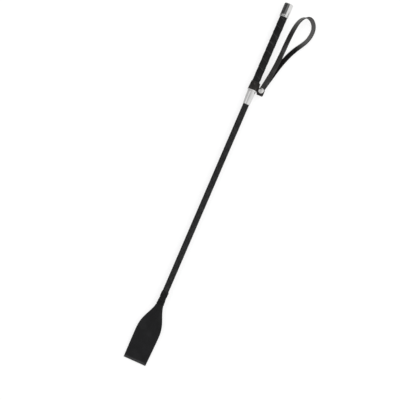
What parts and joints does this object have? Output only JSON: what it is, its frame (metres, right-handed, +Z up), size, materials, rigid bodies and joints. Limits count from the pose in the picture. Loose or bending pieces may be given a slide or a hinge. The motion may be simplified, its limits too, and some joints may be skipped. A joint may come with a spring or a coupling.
{
  "type": "riding crop",
  "caption": "Slim riding crop with a braided shaft, a leather-wound grip, a metal butt cap and ferrule, a riveted leather wrist loop and a flat leather tongue.",
  "frame": {"origin": "on the shaft's axis at the middle of the grip", "axes": "+Y along the shaft towards the butt cap, +X towards the side on which the wrist strap lies, +Z up with the crop lying flat"},
  "size_m": [0.0797, 0.6505, 0.0166],
  "materials": {
    "fibreglass": "bare rod, hidden",
    "cotton": "undyed yarn, hidden",
    "braid": "fine black braid, slight sheen",
    "hardwood": "plain turned wood, hidden",
    "grip_leather": "black wound leather, matte",
    "chrome": "polished",
    "steel": "plain, hidden",
    "cuff_leather": "worn black leather, brown-grey where rubbed",
    "strap_leather": "black strap leather, greyish where lit",
    "tongue_leather": "smooth matte black leather",
    "board": "hidden",
    "thread": "waxed black thread"
  },
  "bodies": {
    "crop": {"core_rod": "fibreglass", "filler_yarns": "cotton", "shaft_braid": "braid", "handle_core": "hardwood", "grip_wrap": "grip_leather", "cap_ring": "chrome", "butt_cap": "chrome", "cap_tack": "steel", "ferrule_sleeve": "chrome", "ferrule_bead": "chrome", "tongue_neck": "tongue_leather", "neck_whipping": "thread", "neck_knot": "thread"},
    "cuff": {"strap_cuff": "cuff_leather", "rivet_cap": "chrome", "rivet_back": "chrome"},
    "strap": {"wrist_strap": "strap_leather"},
    "tongue": {"tongue_leather": "tongue_leather", "tongue_stiffener": "board", "tongue_stitching": "thread"}
  },
  "joints": [
    {"name": "cuff_swivel", "type": "hinge", "parent": "crop", "child": "cuff", "pos_m": [0, -0.0663, 0], "axis": [0, 1, 0], "continuous": true},
    {"name": "strap_pivot", "type": "hinge", "parent": "cuff", "child": "strap", "pos_m": [0.0139, -0.0696, 0], "axis": [0, 0, 1], "range_deg": [-150, 6]},
    {"name": "tongue_flex", "type": "hinge", "parent": "crop", "child": "tongue", "pos_m": [0, -0.47, 0], "axis": [1, 0, 0], "range_deg": [-40, 40], "stiffness_Nm_per_rad": 0.35}
  ]
}
